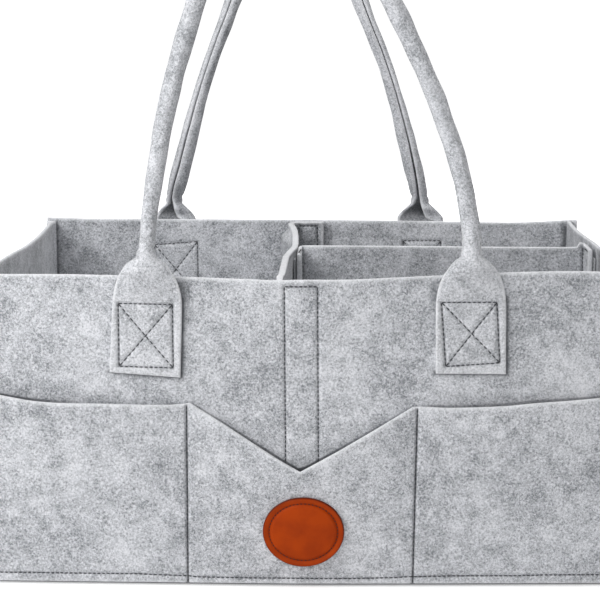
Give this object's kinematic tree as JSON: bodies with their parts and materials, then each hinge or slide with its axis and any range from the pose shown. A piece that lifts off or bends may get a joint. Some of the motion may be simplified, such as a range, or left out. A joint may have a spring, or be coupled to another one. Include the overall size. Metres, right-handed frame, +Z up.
{
  "type": "felt storage bag",
  "caption": "Open rectangular storage bag of sewn grey felt with outside pockets, rolled felt handles, a leather badge and lift-out dividers inside.",
  "frame": {"origin": "middle of the underside, halfway between the corner seams and halfway between the front and back walls", "axes": "+X to the right seen from the front, -Y towards the front, +Z up"},
  "size_m": [0.4045, 0.2768, 0.4106],
  "materials": {
    "felt": "matt pressed felt",
    "loop_tape": "brushed loop pile",
    "hook_tape": "woven tape with nylon hooks",
    "leather": "smooth leather with stained edges"
  },
  "bodies": {
    "bag": {"front_panel": "felt", "back_panel": "felt", "left_panel": "felt", "right_panel": "felt", "base_panel": "felt", "front_pocket_band": "felt", "back_pocket_band": "felt", "left_pocket_band": "felt", "right_pocket_band": "felt", "front_loop_tape": "loop_tape", "back_loop_tape": "loop_tape", "right_loop_tape": "loop_tape", "front_handle_tab_left": "felt", "front_handle_tab_right": "felt", "back_handle_tab_left": "felt", "back_handle_tab_right": "felt", "badge": "leather"},
    "front_grip": {"front_handle_grip": "felt"},
    "back_grip": {"back_handle_grip": "felt"},
    "centre_divider": {"centre_divider": "felt", "centre_divider_hook_front": "hook_tape", "centre_divider_hook_back": "hook_tape", "centre_divider_loop_tape": "loop_tape"},
    "long_divider": {"long_divider": "felt", "long_divider_hook_left": "hook_tape", "long_divider_hook_right": "hook_tape"}
  },
  "joints": [
    {"name": "front_handle_fold", "type": "hinge", "parent": "bag", "child": "front_grip", "pos_m": [0, -0.1364, 0.205], "axis": [1, 0, 0], "range_deg": [-18, 165]},
    {"name": "back_handle_fold", "type": "hinge", "parent": "bag", "child": "back_grip", "pos_m": [0, 0.1293, 0.205], "axis": [-1, 0, 0], "range_deg": [-18, 165]},
    {"name": "centre_divider_lift", "type": "slide", "parent": "bag", "child": "centre_divider", "axis": [0, 0, 1], "range_m": [0, 0.188]},
    {"name": "long_divider_lift", "type": "slide", "parent": "bag", "child": "long_divider", "axis": [0, 0, 1], "range_m": [0, 0.188]}
  ]
}
